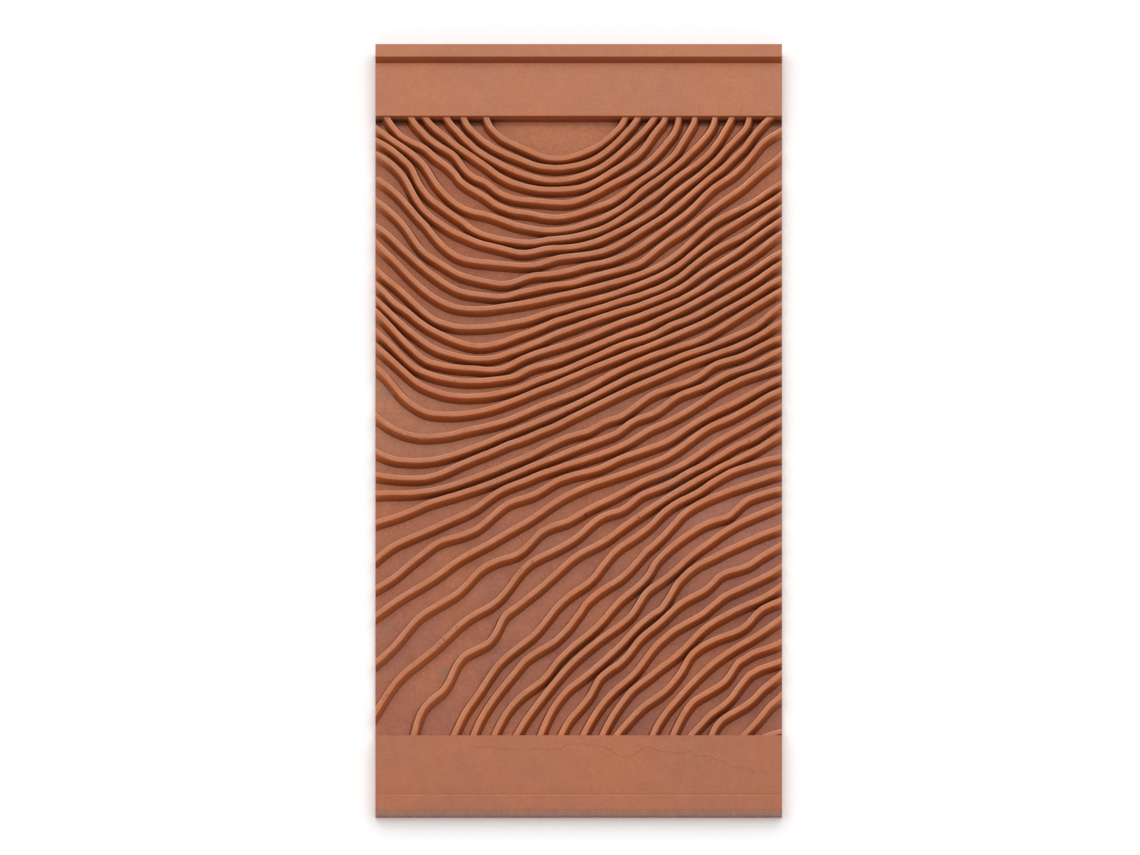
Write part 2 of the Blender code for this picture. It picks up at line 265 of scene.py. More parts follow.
def hand_sheen():
    """Roughness that drifts a little, where hands have polished the matt rubber more or less."""
    group, source, sink = new_group("hand sheen", "Roughness", Roughness=0.65)
    drift = remap(group, noise(group, 320.0, 3.0), 0.3, 0.7, -0.06, 0.08)
    group.links.new(math_node(group, "ADD", source.outputs["Roughness"], drift), sink.inputs["Roughness"])
    return group


CUT_DULL = (0.352, 0.166, 0.121)
CUT_PALE = (0.388, 0.190, 0.141)
# colour of the painted shade at the foot of the end face
CUT_FOOT_SHADE = (0.190, 0.085, 0.062)
CUT_SHADE_FULL = 0.1 * MM
CUT_SHADE_TOP = 1.9 * MM


def trimmed_end():
    """Greyer rubber with upright drag lines on the face that looks out past the tail, with painted shade at
    its foot.
    """
    group, source, sink = new_group("trimmed end", "Color", Color=PLAIN_RUBBER)
    facing = remap(group, facing_parts(group)["Y"], -0.60, -0.90)
    lines = noise(group, 1500.0, 2.0, 0.7, stretched(group, (1.0, 1.0, 0.06)))
    cut = blend(group, remap(group, lines, 0.35, 0.65), CUT_DULL, CUT_PALE)
    height = split(group, on_object(group))["Z"]
    # painted shade towards the foot of the end face
    low_down = remap(group, height, CUT_SHADE_FULL, CUT_SHADE_TOP, 0.55, 0.0)
    cut = blend(group, low_down, cut, CUT_FOOT_SHADE)
    group.links.new(blend(group, facing, source.outputs["Color"], cut), sink.inputs["Color"])
    return group


mottle_group = rubber_mottle()
skin_group = moulded_skin()
stain_group = paint_stains()
pinhole_group = pinholes()
sheen_group = hand_sheen()
trimmed_end_group = trimmed_end()


def group_node(tree, group, **values):
    """A use of a shader group, its inputs fed by sockets, numbers or RGB triples."""
    node = tree.nodes.new("ShaderNodeGroup")
    node.node_tree = group
    for label, value in values.items():
        feed(tree, node.inputs[label], value)
    return node


SPECULAR = 0.2
BUMP_STRENGTH = 0.55
BUMP_DEPTH = 0.03 * MM
# strength of the painted shade in the pinholes
HOLE_SHADE_STRENGTH = 0.95
PAINT_GREY = (0.235, 0.175, 0.125)
# colour of the painted shade in the pinholes
HOLE_SHADE = (0.024, 0.009, 0.004)


def new_paint(name, roughness, specular):
    """A material and its shader."""
    paint = bpy.data.materials.new(name)
    paint.use_nodes = True
    shader = paint.node_tree.nodes["Principled BSDF"]
    shader.inputs["Roughness"].default_value = roughness
    shader.inputs["Specular IOR Level"].default_value = specular
    return paint, shader


def rubber_material(
        name, color, cloud=1.0, speckle=1.0, tooth=1.0, roughness=0.66, stain=0.1, shade=None):
    """Matt moulded rubber: mottled colour, greyed where stained, painted shade in pinholes, the mould's fine
    tooth as bump.
    """
    material, shader = new_paint(name, roughness, SPECULAR)
    tree = material.node_tree
    base = shade(tree, color) if shade else color
    mottle = group_node(tree, mottle_group, Color=base, Cloud=cloud, Speckle=speckle)
    stained = product(tree, group_node(tree, stain_group).outputs["Mask"], stain)
    final = blend(tree, stained, mottle.outputs["Color"], PAINT_GREY)
    # painted shade in the pinholes' mouths
    hole_shade = product(tree, group_node(tree, pinhole_group).outputs["Mask"], HOLE_SHADE_STRENGTH)
    final = blend(tree, hole_shade, final, HOLE_SHADE)
    tree.links.new(final, shader.inputs["Base Color"])
    sheen = group_node(tree, sheen_group, Roughness=roughness)
    tree.links.new(sheen.outputs["Roughness"], shader.inputs["Roughness"])
    skin = group_node(tree, skin_group, Tooth=tooth)
    bump = tree.nodes.new("ShaderNodeBump")
    bump.inputs["Strength"].default_value = BUMP_STRENGTH
    bump.inputs["Distance"].default_value = BUMP_DEPTH
    tree.links.new(skin.outputs["Height"], bump.inputs["Height"])
    tree.links.new(bump.outputs["Normal"], shader.inputs["Normal"])
    return material


def dress(made, node, material):
    """Lets a dressed piece stand for its plain solid."""
    made.data.materials.append(material)
    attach(made, "root")
    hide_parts(node)


def close_rings(bm, rings):
    """Quads from ring to ring, a cap on either end, and normals that look outward."""
    for near, far in zip(rings, rings[1:]):
        for k in range(len(near)):
            after = (k + 1) % len(near)
            bm.faces.new((near[k], near[after], far[after], far[k]))
    bm.faces.new(rings[0])
    bm.faces.new(rings[-1])
    bmesh.ops.recalc_face_normals(bm, faces=bm.faces)


def put_in_scene(name, data):
    """A new object in the scene for a mesh, a light or a camera."""
    made = bpy.data.objects.new(name, data)
    bpy.context.scene.collection.objects.link(made)
    return made


def object_of(bm, name):
    """Turns a finished mesh into an object in the scene."""
    mesh = bpy.data.meshes.new(name)
    bm.to_mesh(mesh)
    bm.free()
    return put_in_scene(name, mesh)


def smooth_by_angle(made, degrees):
    """Smooth faces, with the edges sharper than the angle kept crisp."""
    mesh = made.data
    mesh.polygons.foreach_set("use_smooth", [True] * len(mesh.polygons))
    mesh.set_sharp_from_angle(angle=math.radians(degrees))


def formed_slab(name, low, high, profile, columns):
    """A full-width slab swept along X from a closed (y, z) profile, corners included, as fine quads."""
    bm = bmesh.new()
    rings = []
    for x in np.linspace(low[0], high[0], columns + 1):
        rings.append([bm.verts.new((x, y, z)) for y, z in profile])
    close_rings(bm, rings)
    return object_of(bm, name)


def rounded_profile(y_low, y_high, z_low, z_high, radius, steps=3, low_radius=0.0):
    """A slab's section with its two top corners rounded, and its foot corners if asked."""
    points = []
    for corner_y, corner_z, start, r in (
            (y_high, z_high, 0, radius), (y_low, z_high, 90, radius),
            (y_low, z_low, 180, low_radius), (y_high, z_low, 270, low_radius)):
        if r == 0.0:
            points.append((corner_y, corner_z))
            continue
        cy = corner_y - math.copysign(r, corner_y - (y_low + y_high) / 2)
        cz = corner_z - math.copysign(r, corner_z - (z_low + z_high) / 2)
        for k in range(steps + 1):
            angle = math.radians(start + 90 * k / steps)
            points.append((cy + r * math.cos(angle), cz + r * math.sin(angle)))
    return points


# the open bay under the head band, where no rib comes up to the band
BAY_MIDDLE_X = -5.3 * MM
BAY_NEAR = 13.0 * MM
BAY_FAR = 17.5 * MM


def beside_bay(tree, x, inside, outside):
    """One value within the open bay and another where the ribs come up to the head band."""
    from_middle = math_node(tree, "ABSOLUTE", math_node(tree, "SUBTRACT", x, BAY_MIDDLE_X))
    return remap(tree, from_middle, BAY_NEAR, BAY_FAR, inside, outside)


WEB_RUBBER = (0.432, 0.162, 0.086)
WEB_FIBRE = (0.395, 0.148, 0.081)
WEB_TAN = (0.425, 0.181, 0.105)
# colour of the painted shade on the web between crowded ribs at the upper left
WEB_CROWDED_SHADE = (0.335, 0.120, 0.068)
WEB_PINK = (0.290, 0.109, 0.073)
# colour of the painted shadow that the head band casts on the web
WEB_BAND_SHADOW = (0.060, 0.020, 0.010)
WEB_SHADE_REACH = 2.1 * MM
WEB_SHADE_FULL = 0.9 * MM
SHEET_SIDE = (0.430, 0.158, 0.086)
# paler stretches of the web: shares, inner and outer reach in millimetres, strength, colour
PALE_PATCHES = (
    (0.92, 0.585, 12.0, 34.0, 0.75, (0.395, 0.172, 0.127)),
    (0.44, 0.035, 13.0, 19.0, 0.55, (0.478, 0.176, 0.085)),
)


def web_shade(tree, color):
    """Faint fibres along the pad, a tan left side, greyer pink to the tail and right, painted shade under the
    band and upper left.
    """
    fibres = remap(tree, noise(tree, 2100.0, 3.0, 0.65, stretched(tree, (1.0, 0.12, 1.0))), 0.34, 0.66)
    threaded = blend(tree, fibres, WEB_FIBRE, color)
    place = on_object(tree)
    x, y, _ = split(tree, place)
    tailward = remap(tree, y, field_y(0.25), field_bottom_y, 0.0, 0.65)
    rightward = remap(tree, x, -half_width, half_width, 0.0, 0.45)
    drift = remap(tree, noise(tree, 55.0, 3.0), 0.35, 0.65, 0.4, 1.0)
    pink = product(tree, math_node(tree, "ADD", tailward, rightward), drift)
    leftward = remap(tree, x, 0.0, -0.75 * half_width, 0.0, 0.8)
    below_arch = remap(tree, y, field_y(0.28), field_y(0.38))
    above_waves = remap(tree, y, field_y(0.64), field_y(0.50))
    tan = blend(tree, product(tree, below_arch, above_waves, leftward), threaded, WEB_TAN)
    # painted shade at the upper left, where the web lies between crowded ribs
    crowded_shade = product(tree, math_node(tree, "SUBTRACT", 1.0, below_arch), leftward, 0.75)
    floor = blend(tree, pink, blend(tree, crowded_shade, tan, WEB_CROWDED_SHADE), WEB_PINK)
    for across, along, near, far, strength, pale in PALE_PATCHES:
        away = away_from(tree, place, (*field_place(across, along), sheet_top))
        floor = blend(tree, remap(tree, away, near * MM, far * MM, strength, 0.0), floor, pale)
    # painted shadow cast by the head band onto the web, weaker in the open bay
    under = remap(tree, y, field_top_y - WEB_SHADE_REACH, field_top_y - WEB_SHADE_FULL, 0.0, 0.85)
    under = product(tree, under, beside_bay(tree, x, 0.25, 1.0))
    floor = blend(tree, under, floor, WEB_BAND_SHADOW)
    rubber = blend(tree, remap(tree, facing_parts(tree)["Z"], 0.7, 0.3), floor, SHEET_SIDE)
    return group_node(tree, trimmed_end_group, Color=rubber).outputs["Color"]


SHEET_FOOT_RADIUS = 0.25 * MM
SHEET_COLUMNS = 40
SHEET_CREASE = 40
sheet_profile = rounded_profile(
    sheet_low[1], sheet_high[1], 0.0, sheet_top, 0.0, low_radius=SHEET_FOOT_RADIUS)
sheet = formed_slab("backing_sheet_skin", sheet_low, sheet_high, sheet_profile, SHEET_COLUMNS)
smooth_by_angle(sheet, SHEET_CREASE)
web_rubber = rubber_material(
    "matt web rubber", WEB_RUBBER, cloud=0.8, speckle=1.75, tooth=1.3, roughness=0.74, stain=0.8,
    shade=web_shade)
dress(sheet, "backing_sheet", web_rubber)

# End bands. Solid bars of the same rubber across both ends of the grain, a little prouder than the ribs, with
# plain faces and a drafted wall towards the field.
WALL_DRAFT = 0.52 * MM
BAND_EDGE_RADIUS = 0.22 * MM
BAR_COLUMNS = 60
BAR_CREASE = 50
HEAD_BAND_RUBBER = (0.462, 0.180, 0.099)
TAIL_BAND_RUBBER = (0.396, 0.143, 0.076)
# painted shade on the tail-facing walls: its colour, its colour at the feet, and at the foot of the step
WALL_IN_SHADE = (0.300, 0.070, 0.021)
WALL_FOOT_SHADE = (0.050, 0.016, 0.008)
STEP_FOOT_SHADE = (0.110, 0.034, 0.013)
# heights up a wall and up the step above the band, over which the painted shade fades
WALL_SHADE_FULL = 0.3 * MM
WALL_SHADE_TOP = 1.9 * MM
STEP_SHADE_FULL = 0.1 * MM
STEP_SHADE_TOP = 1.3 * MM
STEP_MARGIN = 0.02 * MM


def painted_wall_shade():
    """Painted shade, deep and saturated, on the tail-facing walls, darkest at their feet and low on the step
    above the band.
    """
    group, source, sink = new_group("painted wall shade", "Color", Color=PLAIN_RUBBER)
    facing = remap(group, facing_parts(group)["Y"], -0.30, -0.75)
    x, _, z = split(group, on_object(group))
    low_down = remap(group, z, sheet_top + WALL_SHADE_FULL, sheet_top + WALL_SHADE_TOP, 1.0, 0.0)
    shaded = product(group, low_down, beside_bay(group, x, 0.40, 0.95))
    # painted shade on the wall, darkest at its foot
    lit = blend(group, shaded, WALL_IN_SHADE, WALL_FOOT_SHADE)
    band_top = band_high[2]
    # painted shade low on the step above the band
    at_step = remap(group, z, band_top + STEP_SHADE_FULL, band_top + STEP_SHADE_TOP, 0.45, 0.0)
    above_band = math_node(group, "GREATER_THAN", z, band_top - STEP_MARGIN)
    lit = blend(group, product(group, at_step, above_band), lit, STEP_FOOT_SHADE)
    group.links.new(blend(group, facing, source.outputs["Color"], lit), sink.inputs["Color"])
    return group


wall_shade_group = painted_wall_shade()


def shaded_wall(tree, color):
    """The head pieces' rubber with painted shade on its walls."""
    return group_node(tree, wall_shade_group, Color=color).outputs["Color"]


head_band_rubber = rubber_material("head band rubber", HEAD_BAND_RUBBER, stain=0.25, shade=shaded_wall)
tail_band_rubber = rubber_material("tail band rubber", TAIL_BAND_RUBBER, cloud=1.15, stain=0.25)
for node, wall_side, material in (("head_band", -1, head_band_rubber), ("tail_band", 1, tail_band_rubber)):
    low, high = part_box(node)
    foot_y = low[1] if wall_side < 0 else high[1]
    profile = []
    for y, z in rounded_profile(low[1], high[1], sheet_top, high[2], BAND_EDGE_RADIUS):
        at_foot = z <= sheet_top and abs(y - foot_y) < MM
        profile.append((y + wall_side * WALL_DRAFT if at_foot else y, z))
    bar = formed_slab(f"{node}_bar", low, high, profile, BAR_COLUMNS)
    smooth_by_angle(bar, BAR_CREASE)
    dress(bar, node, material)

# End lips. The outermost strips, the thickest rubber of the moulding, where the mould's halves closed. The
# tail lip's end face was trimmed with a blade and shows greyer, with fine upright drag lines.
LIP_DRAFT = 0.76 * MM
LIP_EDGE_RADIUS = 0.40 * MM
LIP_EDGE_STEPS = 6
LIP_LAP = 0.01 * MM
LIP_RUBBER = (0.462, 0.184, 0.101)
TRIMMED_RUBBER = (0.388, 0.142, 0.076)
# painted highlight along the tail lip's edge towards the band: colour, reach and where it is full
LIP_EDGE_HIGHLIGHT = (0.480, 0.190, 0.106)
LIP_HIGHLIGHT_REACH = 0.75 * MM
LIP_HIGHLIGHT_FULL = 0.05 * MM
lip_rubber = rubber_material(
    "lip rubber", LIP_RUBBER, cloud=0.9, speckle=0.9, roughness=0.62, shade=shaded_wall)


def tail_lip_shade(tree, color):
    """The trimmed end, and a painted highlight along the edge towards the band."""
    inner_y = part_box("tail_lip")[1][1]
    y = split(tree, on_object(tree))["Y"]
    # painted highlight along the lip's edge towards the band
    lit_edge = remap(tree, y, inner_y - LIP_HIGHLIGHT_REACH, inner_y - LIP_HIGHLIGHT_FULL)
    rubber = blend(tree, product(tree, lit_edge, 0.8), color, LIP_EDGE_HIGHLIGHT)
    return group_node(tree, trimmed_end_group, Color=rubber).outputs["Color"]


trimmed_rubber = rubber_material(
    "trimmed lip rubber", TRIMMED_RUBBER, cloud=0.9, speckle=0.9, shade=tail_lip_shade)
for node, material in (("head_lip", lip_rubber), ("tail_lip", trimmed_rubber)):
    low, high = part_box(node)
    profile = rounded_profile(low[1], high[1], sheet_top, high[2], LIP_EDGE_RADIUS, steps=LIP_EDGE_STEPS)
    if node == "head_lip":
        corner = profile.index((low[1], sheet_top))
        step_z = band_high[2] - LIP_LAP
        profile[corner:corner] = [(low[1] - LIP_DRAFT, step_z), (low[1], step_z)]
    strip = formed_slab(f"{node}_strip", low, high, profile, BAR_COLUMNS)
    smooth_by_angle(strip, BAR_CREASE)
    dress(strip, node, material)

# Grain ribs. Tall narrow walls that print the grain, each moulded along its own course with drafted flanks
# and a flat printing land, and cut flush with the pad's sides. The two faint pale lines along each land are
# painted highlights, and the flanks carry painted shade.
# One row a rib, from the head to the tail, in thousandths, with semicolons between. "a/b" is a share of the
# pad's width from the left edge and a share of the field's length from the head band. A bare number is the
# share of the length at the next fortieth of the width.
SHARE_UNITS = 1000
SHARE_STEP = 25
RIB_COURSE_SHARES = """
272/0 278/11 288/20 302/28 315/35 331/40 46 53 61 66 67 65 60 53 45 32 589/23 603/15 610/7 615/0;
216/0 223/11 234/19 246/26 258/34 272/41 289/48 52 60 66 73 79 81 82 80 77 72 64 51 37 622/20 636/11 646/0;
174/0 186/12 199/20 210/28 221/36 233/43 248/52 262/58 278/65 294/70 311/77 332/83 89 94 99 102 102 100 96
90 83 72 59 44 29 668/16 680/7 687/0;
122/0 136/12 152/21 167/28 180/35 193/43 208/50 221/56 238/63 69 268/77 279/82 292/89 305/95 319/100 334/105
108 113 116 117 117 116 114 109 101 90 80 70 59 37 684/27 698/16 709/8 713/0;
87/0 98/12 110/20 121/27 131/34 143/40 157/46 171/51 185/57 195/62 201/67 208/73 214/79 225/88 236/94 249/99
264/102 279/108 291/115 303/121 318/126 334/130 132 134 135 137 138 138 134 127 119 109 101 93 83 679/68
691/59 704/51 716/40 729/31 737/22 742/14 745/8 746/0;
28/0 37/11 48/19 59/28 70/33 82/37 96/42 110/45 122/50 133/56 145/64 156/69 169/75 181/81 191/88 198/92
204/99 213/105 225/111 241/117 257/123 270/128 284/135 296/141 310/145 330/150 153 154 158 161 162 159 155
149 143 138 128 115 102 678/91 703/79 727/65 740/56 752/43 764/30 778/16 784/8 786/0;
17 29 41 51 64 118/75 132/89 146/105 165/120 187/134 204/142 150 154 157 163 169 175 178 181 183 182 180 176
170 165 157 148 137 120 680/107 704/96 730/83 753/71 770/59 787/49 805/37 819/26 829/16 834/7 835/0;
37 45 57 72 88/80 95/91 104/104 116/117 138/134 152/139 151 162 216/169 232/178 247/184 268/190 191 196 198
201 202 201 197 196 194 191 187 182 175 165 154 143 132 121 106 93 82 70 820/58 832/48 845/37 855/26 864/16
872/8 877/0;
59 67 81 68/94 80/107 89/119 103/136 123/153 153/168 178 188 194 202 206 210 214 219 219 215 211 211 210 208
204 199 191 183 175 166 157 144 128 116 104 92 77 844/66 860/52 879/40 895/29 910/19 918/9 919/0;
98 108 121 80/142 101/160 122/173 133/182 197 213 225 230 233 234 236 237 239 239 238 232 226 225 223 221
218 213 205 195 184 174 164 153 140 125 111 96 85 69 894/57 910/47 924/33 938/22 953/11 962/5 966/3;
134 145 160 177 204 222 231 242 252 258 262 265 269 269 264 257 254 254 251 248 243 238 236 232 226 219 210
198 187 174 163 150 133 116 105 95 81 62 40 29 20;
175 185 201 217 232 246 259 270 279 284 286 288 290 289 283 280 276 272 270 269 265 259 254 250 246 241 236
223 209 197 188 175 162 149 137 126 115 100 85 73 58;
201 218 232 251 267 282 293 302 307 309 310 309 307 304 302 299 296 292 288 285 281 277 273 268 264 259 254
247 239 229 216 201 186 172 162 154 146 139 126 115 105;
244 260 272 287 303 318 329 334 339 339 339 338 336 333 330 327 321 315 311 306 301 297 292 288 282 276 270
263 256 247 237 223 209 197 185 175 165 155 145 135 123;
270 284 303 311 326 338 347 355 362 367 370 369 365 360 353 348 341 334 327 323 317 313 308 303 297 292 288
281 276 267 257 243 230 218 208 200 192 182 168 157 145;
294 309 325 340 353 366 375 381 385 389 390 390 387 381 376 369 363 355 348 342 336 330 324 319 313 309 304
297 291 284 276 265 252 243 233 223 212 199 187 176 165;
313 329 347 365 380 394 398 402 404 405 406 408 408 403 393 386 380 375 370 365 359 353 346 339 332 326 321
314 308 301 295 285 277 264 253 243 234 223 211 197 187;
344 359 375 392 406 413 419 422 425 426 426 425 423 421 417 406 401 397 393 386 379 373 366 359 353 346 341
334 326 319 311 303 294 285 276 267 258 248 237 225 217;
369 383 398 413 428 437 443 448 450 451 450 449 446 442 438 431 424 418 412 406 398 391 384 376 369 363 359
353 346 335 330 324 316 306 297 288 278 268 257 245 235;
403 416 438 457 468 477 479 480 480 478 476 472 467 461 455 448 441 435 429 421 415 407 401 394 388 381 375
369 362 355 348 341 334 326 316 307 298 289 278 268 259;
481 495 505 511 515 516 515 513 510 505 502 498 494 489 482 475 467 461 455 449 443 435 426 416 408 400 393
386 380 375 369 365 358 349 339 329 318 308 298 288 279;
539 548 553 554 555 554 552 548 543 537 531 525 517 511 504 498 491 484 477 469 461 453 445 436 428 419 413
407 400 393 386 380 375 369 362 355 348 341 329 314 303;
577 580 582 583 583 582 578 571 563 556 549 543 536 528 523 517 509 503 496 487 479 471 463 455 447 439 432
425 418 411 403 397 391 385 379 374 367 359 350 339 330;
608 607 607 607 606 604 601 597 592 586 580 574 567 560 554 547 539 530 522 515 511 507 496 488 485 474 461
449 442 436 431 426 416 402 395 391 386 378 369 361 356;
655 650 645 639 632 624 619 614 610 604 599 593 587 580 573 566 559 553 547 540 533 527 521 515 508 493 485
481 472 458 447 442 436 429 418 411 406 401 392 383 375;
714 700 689 682 675 668 661 653 646 639 630 617 605 597 591 585 577 572 566 560 556 550 545 539 532 524 514
503 497 489 481 471 461 449 439 431 423 417 412 406 400;
761 752 741 726 713 700 687 681 677 672 665 651 636 623 617 613 606 595 585 580 575 572 567 560 551 545 540
534 528 521 509 498 488 479 471 464 455 446 437 428 421;
805 793 781 771 761 752 741 729 716 707 698 690 680 671 661 652 641 629 618 609 601 594 588 583 577 572 565
559 553 544 534 521 509 498 492 485 476 467 456 447 440;
881 867 851 830 810 798 789 779 770 754 734 723 715 711 706 692 672 662 657 652 642 632 624 617 608 599 590
583 577 570 563 553 542 530 520 511 502 493 484 476 467;
961 934 910 894 882 869 855 840 823 810 800 792 781 762 738 721 711 704 696 687 676 660 646 639 636 626 610
604 598 591 581 571 564 555 546 535 526 521 510 498 489;
94/1000 100/982 107/968 117/954 134/942 934 163/928 178/915 186/903 194/891 203/880 215/870 228/865 858
273/851 286/843 301/827 309/814 317/805 800 789 775 763 748 733 718 705 697 689 679 666 654 643 632 621 611
601 592 582 574 564 557 549 541 532 521 513;
192/1000 203/984 213/969 226/955 239/943 253/931 267/917 278/905 291/893 303/882 869 856 844 829 808 441/794
788 772 762 751 542/739 552/729 564/720 579/707 592/699 694 684 673 660 687/652 643 712/636 629 740/623 619
612 603 814/596 591 581 572 566 561 556 551 548;
240/1000 252/981 261/969 277/952 291/939 304/927 331/906 357/885 367/877 873 862 853 442/846 455/837 470/828
482/818 493/808 504/799 514/788 780 766 756 746 614/738 632/726 653/710 664/701 696 681 717/669 663 741/652
644 631 622 614 608 601 596 590 585 579 574;
291/1000 309/975 328/955 350/939 926 915 412/908 428/897 443/882 877 860 847 834 819 568/806 799 590/789 781
768 755 667/743 679/731 686/721 697/713 705/707 695 682 671 660 653 648 863/646 641 888/632 625 913/618 614
609 603 600;
345/1000 363/979 380/963 405/942 430/921 455/901 480/883 871 857 844 832 821 614/813 628/805 640/794 651/782
661/771 675/761 751 738 724 708 696 685 672 662 653 646 639 632 624;
405/1000 417/980 429/963 440/951 453/939 922 911 898 884 869 855 836 640/826 819 806 688/800 796 711/787
726/771 735/760 744/751 747 765/737 731 720 713 704 696 689 681 674 668 662;
455/1000 471/978 486/966 500/956 516/944 528/934 537/922 545/912 551/905 892 594/885 604/879 620/869 634/856
653/840 829 816 800 738/792 785 775 768 813/762 831/751 841/743 739 859/736 732 728 920/723 934/716 709 699
690;
510/1000 524/981 537/967 554/950 579/931 604/917 629/904 645/892 656/882 667/872 681/860 694/850 847 832 822
813 804 813/798 790 842/782 776 767 760 752 744 736 725;
557/1000 570/982 581/969 593/957 603/948 618/935 628/927 642/919 915 903 889 878 864 847 830 817 808 799 791
784 777 768 756;
591/1000 604/989 627/972 653/954 678/942 933 718/923 734/911 748/899 757/890 767/877 778/866 855 846 839 834
895/828 909/822 919/816 932/805 946/796 959/791 786 780;
681/1000 691/984 705/970 719/957 731/948 756/930 779/913 804/897 828/883 872 861 851 842 832 820 808;
731/1000 742/983 753/969 765/956 780/943 935 926 916 864/908 876/896 886/885 895/878 910/873 866 860 855
847;
774/1000 794/985 811/973 826/963 953 864/945 880/934 894/920 905/911 916/902 898 939/893 889 884 878;
826/1000 834/986 851/972 963 954 943 943/930 953/923 912 898;
903/1000 927/984 943/972 957/961 969/951 978/946 991/939 933;
961/1000 977/996 988/994 992
""".split(";")
RIB_HEIGHT = 2.10
LAND_HALF_WIDTH = 0.61
# half of the section: (across, up), in millimetres from the rib's middle and the sheet's top
RIB_SECTION = (
    (1.48, -0.03), (1.30, 0.05), (1.16, 0.22), (1.04, 0.55), (0.92, 1.05), (0.80, 1.60), (0.70, 1.96),
    (0.665, 2.05), (0.61, 2.093), (0.54, 2.10), (0.42, 2.10), (0.20, 2.090), (0.0, 2.085),
)
RIB_CREASE = 38
CUT_TOLERANCE = 1e-7
COURSE_CUTS = 8
# at the pad's side or under a band a course runs on by this much, so that the rib's own end stays hidden
RUN_ON = 1.6
LONGEST_RUN_ON = 4.0
LEAST_LEAN = 0.01
AT_SIDE = 0.05 * MM
# the one rib whose head end shows: share of its width there, run to the full width, and depth of the end
OPEN_ENDED_RIB = 10
OPEN_END_WIDTH = 0.72
OPEN_END_RUN = 0.5
OPEN_END_SLOPE_RUN = 0.45
OPEN_END_SLOPE = 0.9
# the lands get this much slimmer on each side towards the upper right corner
SLIMMING = 0.09
SLIMMING_HASTE = 1.6
# heights between which a flank takes up the land's unevenness
WAVER_FROM = 0.4
WAVER_RISE = 1.5
# seed, wavelength and height of each unevenness along a rib, in millimetres
LEFT_SWELL = (100, 5.0, 0.022)
RIGHT_SWELL = (300, 4.2, 0.028)
LAND_SAG = (500, 8.0, 0.016)
EDGE_ROUGHNESS = (700, 1.5, 0.010)
WAVES = 5
SHORTEST_WAVE = 0.55
WAVE_GROWTH = 0.45
WAVE_SPREAD = (0.4, 1.0)
WAVE_SUM = 2.2
DENT_CATCH = 3.0 * MM
DENT_CURVE = 1.5
# stretches whose tail-side edge tore in the mould: rib, from and to across, depth of the nicks
RAGGED_EDGES = (
    (21, 0.028, 0.082, 0.50), (21, 0.082, 0.160, 0.38), (21, 0.160, 0.250, 0.30), (13, 0.245, 0.295, 0.42),
    (30, 0.60, 0.64, 0.22), (7, 0.33, 0.36, 0.22), (13, 0.930, 0.950, 0.35), (26, 0.905, 0.935, 0.35),
)
NICK_SEED = 900
NICK_SHARE = 0.55
NICK_ASIDE = 0.68
NICK_ASIDE_SPREAD = (0.8, 1.25)
NICK_REACH = (0.18, 0.36)
NICK_DEPTH_SPREAD = (0.5, 1.2)
LAND_LEVEL = 1.5
# steps along a rib, and how far past a hurt the fine ones go
COARSE_STEP = 0.62 * MM
FINE_STEP = 0.14 * MM
SHORTEST_STEP = 0.05 * MM
FINE_MARGIN = 1.1
# courses looked at on each side, and the spacings at which a flank counts as open or as fully crowded for its
# painted shade
NEIGHBOURS = 2
OPEN_SPACING = 3.7
CROWDED_SPACING = 2.2


def read_course(row):
    """Places along one rib in the pad's plane, from its row of shares."""
    places = []
    across = -1
    for word in row.split():
        if "/" in word:
            across, along = (int(part) for part in word.split("/"))
        else:
            across = (across // SHARE_STEP + 1) * SHARE_STEP
            along = int(word)
        places.append(np.array(field_place(across / SHARE_UNITS, along / SHARE_UNITS)))
    return places


def smooth_course(places):
    """A cubic B-spline through the run of the places that keeps both ends, as close points."""
    run = [places[0] * 2 - places[1]] + places + [places[-1] * 2 - places[-2]]
    points = []
    for a, b, c, d in zip(run, run[1:], run[2:], run[3:]):
        for step in range(COURSE_CUTS):
            t = step / COURSE_CUTS
            w0 = (1 - t) ** 3 / 6
            w1 = (3 * t ** 3 - 6 * t ** 2 + 4) / 6
            w2 = (-3 * t ** 3 + 3 * t ** 2 + 3 * t + 1) / 6
            w3 = t ** 3 / 6
            points.append(a * w0 + b * w1 + c * w2 + d * w3)
    points.append(places[-1])
    points[0] = places[0]
    return np.array(points)


def run_on(points, open_start):
    """Carries a course past its ends, so that the rib can be cut flush with the side or die in the band."""
    ends = []
    for end, before in ((points[0], points[2]), (points[-1], points[-3])):
        way = end - before
        way = way / np.hypot(*way)
        at_side = abs(abs(end[0]) - half_width) < AT_SIDE
        share = abs(way[0]) if at_side else abs(way[1])
        reach = min(RUN_ON / max(share, LEAST_LEAN), LONGEST_RUN_ON) * MM
        ends.append(end + way * reach)
    return np.vstack([points, ends[1]] if open_start else [ends[0], points, ends[1]])


def unit_way(points):
    """The direction of a line at each of its points."""
    way = np.gradient(points, axis=0)
    return way / np.hypot(*way.T)[:, None]


def lengths_along(points):
    """How far along a line each of its points lies."""
    return np.concatenate([[0.0], np.cumsum(np.hypot(*np.diff(points, axis=0).T))])


def points_at(marks, run, points):
    """The places on a line at the given lengths along it."""
    return np.array([np.interp(marks, run, points[:, k]) for k in (0, 1)]).T


